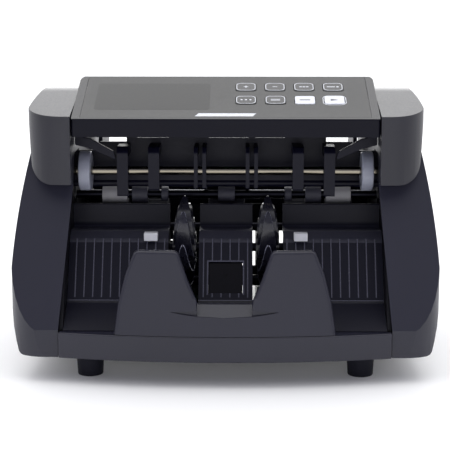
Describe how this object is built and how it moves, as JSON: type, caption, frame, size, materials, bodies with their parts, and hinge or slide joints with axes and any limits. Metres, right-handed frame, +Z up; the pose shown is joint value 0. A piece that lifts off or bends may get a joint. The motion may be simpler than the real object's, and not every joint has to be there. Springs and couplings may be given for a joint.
{
  "type": "banknote counting machine",
  "caption": "Compact front-loading banknote counter with a sloped rear hopper, a hinged keypad head, finger wheels and a notched front stacker stop.",
  "frame": {"origin": "on the ground under the middle of the machine", "axes": "+Z up, +X to the right across the machine, front towards -Y"},
  "size_m": [0.286, 0.24, 0.1949],
  "materials": {
    "black_abs": "satin",
    "board": "solder resist",
    "cover_abs": "satin, finely textured",
    "grey_plastic": "satin",
    "impeller_plastic": "satin, slightly see-through edges",
    "ivory_plastic": "natural acetal",
    "key_black": "satin with printed outline",
    "key_white": "satin",
    "membrane": "gloss",
    "motor_steel": "zinc plated",
    "rocker_plastic": "gloss",
    "rubber": "matte",
    "steel": "ground",
    "white_plastic": "satin",
    "zinc_steel": "black coated"
  },
  "bodies": {
    "chassis": {"base_pan": "black_abs", "side_cover_left": "cover_abs", "side_cover_right": "cover_abs", "upper_cover_left": "cover_abs", "upper_cover_right": "cover_abs", "front_bumper": "cover_abs", "stacker_tray": "black_abs", "stacker_stop": "cover_abs", "sensor_window": "membrane", "sensor_lenses": "white_plastic", "rear_cover": "cover_abs", "hopper_floor": "black_abs", "frame_plate_left": "zinc_steel", "frame_plate_right": "zinc_steel", "tie_bars": "steel", "guide_plate": "black_abs", "guide_levers": "black_abs", "friction_roller": "rubber", "shaft_bushes": "ivory_plastic", "feed_motor": "motor_steel", "stacker_motor": "motor_steel", "drive_belts": "rubber", "main_board": "board", "power_transformer": "motor_steel", "power_inlet": "black_abs", "rubber_feet": "rubber", "case_screws": "steel", "hinge_pins": "steel"},
    "control_head": {"panel_head": "black_abs", "panel_membrane": "membrane", "display_module": "membrane", "key_board": "board"},
    "key_1_body": {"key_1": "key_black"},
    "key_2_body": {"key_2": "key_black"},
    "key_3_body": {"key_3": "key_black"},
    "key_4_body": {"key_4": "key_black"},
    "key_5_body": {"key_5": "key_black"},
    "key_6_body": {"key_6": "key_black"},
    "key_7_body": {"key_7": "key_white"},
    "key_8_body": {"key_8": "key_white"},
    "front_roller": {"front_shaft": "steel", "front_wheels": "grey_plastic"},
    "transport_roller": {"transport_shaft": "steel", "transport_rollers": "white_plastic"},
    "feed_drum": {"feed_shaft": "steel", "feed_rollers": "rubber", "feed_pulleys": "grey_plastic"},
    "pickup_roller": {"pickup_shaft": "steel", "pickup_rollers": "rubber", "pickup_pulley": "grey_plastic"},
    "stacker_wheel": {"impeller_shaft": "steel", "impellers": "impeller_plastic", "impeller_pulley": "grey_plastic"},
    "feed_motor_rotor": {"feed_motor_pulley": "grey_plastic"},
    "stacker_motor_rotor": {"stacker_motor_pulley": "grey_plastic"},
    "note_guide_left": {"hopper_guide_left": "black_abs"},
    "note_guide_right": {"hopper_guide_right": "black_abs"},
    "thickness_knob": {"adjust_knob": "black_abs"},
    "rocker": {"power_rocker": "rocker_plastic"},
    "handle": {"carry_handle": "black_abs"}
  },
  "joints": [
    {"name": "head_hinge", "type": "hinge", "parent": "chassis", "child": "control_head", "pos_m": [0, -0.01, 0.167], "axis": [-1, 0, 0], "range_deg": [0, 65]},
    {"name": "key_1_press", "type": "slide", "parent": "control_head", "child": "key_1_body", "axis": [0, -0.3451, 0.9386], "range_m": [-0.0008, 0], "stiffness_N_per_m": 600, "springref_m": 0.0006},
    {"name": "key_2_press", "type": "slide", "parent": "control_head", "child": "key_2_body", "axis": [0, -0.3451, 0.9386], "range_m": [-0.0008, 0], "stiffness_N_per_m": 600, "springref_m": 0.0006},
    {"name": "key_3_press", "type": "slide", "parent": "control_head", "child": "key_3_body", "axis": [0, -0.3451, 0.9386], "range_m": [-0.0008, 0], "stiffness_N_per_m": 600, "springref_m": 0.0006},
    {"name": "key_4_press", "type": "slide", "parent": "control_head", "child": "key_4_body", "axis": [0, -0.3451, 0.9386], "range_m": [-0.0008, 0], "stiffness_N_per_m": 600, "springref_m": 0.0006},
    {"name": "key_5_press", "type": "slide", "parent": "control_head", "child": "key_5_body", "axis": [0, -0.3451, 0.9386], "range_m": [-0.0008, 0], "stiffness_N_per_m": 600, "springref_m": 0.0006},
    {"name": "key_6_press", "type": "slide", "parent": "control_head", "child": "key_6_body", "axis": [0, -0.3451, 0.9386], "range_m": [-0.0008, 0], "stiffness_N_per_m": 600, "springref_m": 0.0006},
    {"name": "key_7_press", "type": "slide", "parent": "control_head", "child": "key_7_body", "axis": [0, -0.3451, 0.9386], "range_m": [-0.0008, 0], "stiffness_N_per_m": 600, "springref_m": 0.0006},
    {"name": "key_8_press", "type": "slide", "parent": "control_head", "child": "key_8_body", "axis": [0, -0.3451, 0.9386], "range_m": [-0.0008, 0], "stiffness_N_per_m": 600, "springref_m": 0.0006},
    {"name": "front_spin", "type": "hinge", "parent": "chassis", "child": "front_roller", "pos_m": [0, -0.045, 0.1328], "axis": [1, 0, 0], "continuous": true},
    {"name": "transport_spin", "type": "hinge", "parent": "chassis", "child": "transport_roller", "pos_m": [0, -0.02, 0.1129], "axis": [1, 0, 0], "continuous": true},
    {"name": "feed_spin", "type": "hinge", "parent": "chassis", "child": "feed_drum", "pos_m": [0, 0, 0.086], "axis": [1, 0, 0], "continuous": true},
    {"name": "pickup_spin", "type": "hinge", "parent": "chassis", "child": "pickup_roller", "pos_m": [0, 0.044, 0.10345], "axis": [1, 0, 0], "continuous": true},
    {"name": "impeller_spin", "type": "hinge", "parent": "chassis", "child": "stacker_wheel", "pos_m": [0, -0.04, 0.0785], "axis": [1, 0, 0], "continuous": true},
    {"name": "feed_motor_spin", "type": "hinge", "parent": "chassis", "child": "feed_motor_rotor", "pos_m": [0, 0.062, 0.057], "axis": [1, 0, 0], "continuous": true},
    {"name": "stacker_motor_spin", "type": "hinge", "parent": "chassis", "child": "stacker_motor_rotor", "pos_m": [0, -0.028, 0.039], "axis": [1, 0, 0], "continuous": true},
    {"name": "guide_left_slide", "type": "slide", "parent": "chassis", "child": "note_guide_left", "axis": [1, 0, 0], "range_m": [0, 0.03]},
    {"name": "guide_right_slide", "type": "slide", "parent": "chassis", "child": "note_guide_right", "axis": [-1, 0, 0], "range_m": [0, 0.03]},
    {"name": "knob_turn", "type": "hinge", "parent": "chassis", "child": "thickness_knob", "pos_m": [0, 0.01, 0.149], "axis": [0, 0, 1], "range_deg": [-150, 150]},
    {"name": "rocker_tilt", "type": "hinge", "parent": "chassis", "child": "rocker", "pos_m": [-0.042, 0.1176, 0.045], "axis": [1, 0, 0], "range_deg": [0, 10]},
    {"name": "handle_swing", "type": "hinge", "parent": "chassis", "child": "handle", "pos_m": [0, 0.1123, 0.109], "axis": [1, 0, 0], "range_deg": [0, 90]}
  ],
  "couplings": [
    {"joint": "pickup_spin", "follows": "feed_spin", "ratio": 1},
    {"joint": "feed_motor_spin", "follows": "feed_spin", "ratio": 2},
    {"joint": "transport_spin", "follows": "feed_spin", "ratio": -4.0729},
    {"joint": "stacker_motor_spin", "follows": "impeller_spin", "ratio": 2}
  ]
}
